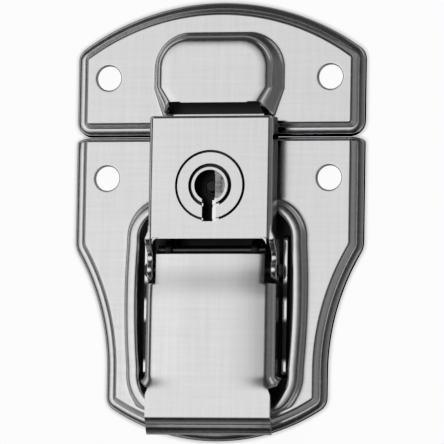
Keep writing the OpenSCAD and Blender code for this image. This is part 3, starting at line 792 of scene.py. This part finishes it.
def buildLever():
    s = lever
    path = leverPath(s)
    half = sum(s["cells"])
    deselectAll()
    bpy.ops.mesh.primitive_grid_add(x_subdivisions=2 * half, y_subdivisions=len(path) - 1, size=1)
    piece = bpy.context.object
    piece.name = "leverSheet"
    for vertex in piece.data.vertices:
        i = round((vertex.co.x + 0.5) * 2 * half) - half
        j = round((vertex.co.y + 0.5) * (len(path) - 1))
        vertex.co = leverPoint(s, path, i, j)
    applied(piece, "SOLIDIFY", thickness=s["sheet"] * mm, offset=0, use_even_offset=True)
    neck, inner, wide = s["neckHalf"], s["neckHalf"] - s["sheet"], s["wideTop"] + seamY
    back, under = s["cheekTop"]
    for x in (-1, 1):  # cheeks of the neck
        low, high = sorted((x * inner, x * (neck + s["cheekWide"])))
        cheek = boxSolid((low, wide - 2, s["flangeLow"]),
                         (high, s["top"] - back + seamY, s["face"] - under))
        combined(piece, cheek, "UNION")
    for x in (-1, 1):
        low, high = sorted((x * neck, x * beyond))
        combined(piece, boxSolid((low, wide, -5), (high, wide + 20, 12)))
    end = cornered([(-24, -10, 0), (-24, 1.25, 0), (-20.8, 1.25, 1.5), (s["neckEnd"], 3.6, 1.5),
                    (s["neckEnd"], 5.0, 1.2), (s["top"], 6.7, 0.05), (s["top"], 20, 0), (-5, 20, 0),
                    (-5, -10, 0)])
    combined(piece, prismAcross([(y + seamY, z) for y, z in end], beyond))
    combined(piece, boxSolid((-inner, s["top"] + seamY, s["neckOpen"]), (inner, seamY - 10, 12)))
    for y, z in (s["pivot"], s["link"]):
        combined(piece, pinCutter(y + seamY, z, s["bore"], beyond))
    bevelled(piece, s["edge"], 3, 50)
    softened(piece)
    finishPiece(piece, "lever", ["lever"], plated)


hasp = {"halfWidth": 10.7, "top": 2.76, "end": -18.1, "face": 8.6, "low": 4.2, "sheet": 1.0, "claw": 4.5,
        "split": -16.7, "bends": 0.9, "clawBend": 0.5, "link": (-23.1, 4.4), "earRound": 2.0,
        "earHalf": 1.6, "earIn": 10.2, "earOut": 11.2, "earEnd": -26.2, "earBevel": 0.22,
        "fillet": 1.0, "bore": 0.81, "edge": 0.12}
keyhole = {"y": -9.1, "hole": 2.65, "slot": (-1.29, 1.1), "slotEnd": -6.1, "step": 8.1,
           "inner": (0.75, 0.39), "disc": (5.66, 8.66), "discGap": 6.02, "collar": (3.26, 8.8),
           "collarGap": 3.72, "gapLow": 7.75, "ringEdge": (0.1, 0.2)}


def haspEar(s):
    half, split, end = s["halfWidth"] - 0.02, s["split"], s["earEnd"]
    inner = s["halfWidth"] - s["sheet"] + 0.02
    plan = [(inner, split + 1), (half, split + 1), (half, split), (s["earOut"], split - 1.3),
            (s["earOut"], end), (s["earIn"], end), (s["earIn"], split - 1.6), (inner, split - 0.4)]
    piece = upright([(x, y + seamY) for x, y in reversed(plan)], 0, s["face"])
    y, z = s["link"]
    lift = math.degrees(math.asin(s["earHalf"] / s["earRound"]))
    side = [(split + 1.1, s["low"]), (split + 1.1, 8.3), (-17.9, 8.4), (-18.4, 8.3), (-18.9, 7.95),
            (-19.4, 7.35), (-19.9, 6.65), (-20.4, 6.2), (-21, z + s["earHalf"])]  # shoulder down to the ear
    side += arcPoints(y, z, s["earRound"], lift, 360 - lift - 10, 30) + [(-21.1, 3.2), (split, s["low"])]
    combined(piece, prismAcross([(a + seamY, b) for a, b in side], beyond), "INTERSECT")
    combined(piece, pinCutter(y + seamY, z, s["bore"], beyond))
    bevelled(piece, s["earBevel"], 3, 55)
    return piece


def mirrored(piece):  # a copy with its own mesh, turned over to the other side
    makeActive(piece)
    bpy.ops.object.duplicate()
    copy = bpy.context.object
    for vertex in copy.data.vertices:
        vertex.co.x = -vertex.co.x
    flipped(copy)
    return copy


def keyCut(piece, s):  # hole and slot, each with a step at the right; no two cutters share a height
    y = s["y"] + seamY
    left, right = s["slot"]
    wide, narrow = s["inner"]
    r, end = s["hole"], y + s["slotEnd"]
    turn = lambda x: math.degrees(math.asin(x / r))
    bend = 90 - turn(wide - 0.02)
    bore = arcPoints(0, y, r, 90 - turn(wide), 270 + turn(left), 50) + [(wide, y - 2.5)]
    combined(piece, upright(bore, 6.0, 9.6))
    combined(piece, upright(arcPoints(0, y, r, -bend, bend, 40), s["step"], 9.65))
    combined(piece, upright([(left, end), (narrow, end), (narrow, y - 1), (left, y - 1)], 5.9, 9.7))
    side = [(narrow - 0.05, end - 0.02), (right, end - 0.02), (right, y - 2), (narrow - 0.05, y - 2)]
    combined(piece, upright(side, s["step"], 9.8))


def lockRings(s):  # the lock's disc and collar, standing in gaps that the hasp's material darkens with painted shade
    y, low = s["y"] + seamY, s["gapLow"] - 0.06
    inners = (s["collarGap"], s["hole"] - 0.6)
    made = []
    for (ring, top), inner, edge in zip((s["disc"], s["collar"]), inners, s["ringEdge"]):
        band = upright(arcPoints(0, y, ring, 0, 357, 119), low, top)
        combined(band, upright(arcPoints(0, y, inner, 1, 358, 119), low - 1, top + 1))
        outer = lambda v: v.z > top - 0.01 and math.hypot(v.x, v.y - y) > ring - 0.05
        pickEdges(band, lambda a, b, e: outer(a) and outer(b))
        bpy.ops.mesh.bevel(offset=edge * mm, segments=2, affect="EDGES")
        doneEditing()
        keyCut(band, s)
        print("lock ring,", len(band.data.polygons), "faces")
        made.append(band)
    return made


def endFillet(s):  # rounds the corner between the face's end and the ear
    out, r, over = s["halfWidth"] - s["bends"] + 0.1, s["fillet"], 0.3
    inner, y = s["halfWidth"] - s["sheet"] - r, s["end"] + seamY
    points = [(out, y + over), (out, y - r)] + arcPoints(inner, y - r, r, 0, 90, 12) + [(inner, y + over)]
    piece = upright(points, s["face"] - s["sheet"] + 0.05, s["face"] + 0.004)
    bevelled(piece, s["edge"], 2, 50)
    return piece


def bentEdges(piece, test, offset):  # rounds the picked edges like a bend in the sheet
    pickEdges(piece, test)
    bpy.ops.mesh.bevel(offset=offset * mm, segments=5, affect="EDGES")
    doneEditing()


def buildHasp():
    s, k = hasp, keyhole
    half, face, top, end = s["halfWidth"], s["face"], s["top"] + seamY, s["end"] + seamY
    piece = boxSolid((-half, end, s["low"]), (half, top, face))
    piece.name = "haspPlate"
    onFace = lambda v: v.z > face - 0.01
    atTop = lambda v: v.y > top - 0.01
    bentEdges(piece, lambda a, b, e: onFace(a) and onFace(b) and abs(a.x - b.x) < 0.01, s["bends"])
    bentEdges(piece, lambda a, b, e: atTop(a) and atTop(b) and (a.z + b.z) / 2 > face - s["bends"] - 0.01,
              s["clawBend"])
    inner = half - s["sheet"]
    combined(piece, boxSolid((-inner, end - 1, -1), (inner, top - s["sheet"], face - s["sheet"])))
    combined(piece, boxSolid((-13, top - 1.1, -1), (13, top + 1, s["claw"])))
    for x in (-1, 1):
        low, high = sorted((x * (inner - 0.05), x * 12))
        combined(piece, boxSolid((low, end - 1, -1), (high, s["split"] + seamY, face - 0.98)))
    bevelled(piece, s["edge"], 2, 50)
    for normal in ((1, 0, 0), (0, 1, 0)):  # splits the face, so that the bore leaves no ring-shaped face
        bisectBy(piece, (0.03, k["y"] + seamY + 0.04, 0), normal, lambda m, n: n.z > 0.9 or n.z < -0.9)
    combined(piece, upright(arcPoints(0, k["y"] + seamY, k["discGap"], 0, 357, 119), k["gapLow"], 9.6))
    keyCut(piece, k)
    ear, fillet = haspEar(s), endFillet(s)
    piece = joined("haspPlate", [piece, ear, mirrored(ear), fillet, mirrored(fillet)] + lockRings(k))
    softened(piece)
    finishPiece(piece, "hasp", ["hasp"], locked)


# the other solids, as (body, slot, edge)
smallParts = {"pivot_bracket": ("base", "bracket", 0.12), "hook_plate": ("base", "bracket", 0.15),
              "lever_pin": ("base", "pins", 0.15), "hasp_pin": ("hasp", "pins", 0.12),
              "lock_case": ("hasp", "bracket", 0.1), "key_post": ("hasp", "bracket", 0.7),
              "bolt_stud": ("hasp", "lock", 0.1), "bolt_spring": ("hasp", "lock", 0.04),
              "lock_bolt": ("bolt", "lock", 0.1)}


def dressParts(parts, paints):
    for name, (body, slot, edge) in parts.items():
        makeActive(frame["nodes"][name])
        bpy.ops.object.duplicate()
        piece = bpy.context.object
        piece.parent = None
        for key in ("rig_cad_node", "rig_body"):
            if key in piece:
                del piece[key]
        piece.name = "".join(word.title() if i else word for i, word in enumerate(name.split("_")))
        editingAll(piece)
        bpy.ops.mesh.remove_doubles(threshold=weld)
        bpy.ops.mesh.dissolve_limited(angle_limit=math.radians(0.5))
        doneEditing()
        bevelled(piece, edge, 3, 40)
        softened(piece)
        finishPiece(piece, body, [name], paints[slot])


buildKeeper()
buildBase()
buildLever()
buildHasp()
# the bracket slot takes the near-black steel of painted shade
dressParts(smallParts, {"bracket": inside, "pins": pinned, "lock": brass})
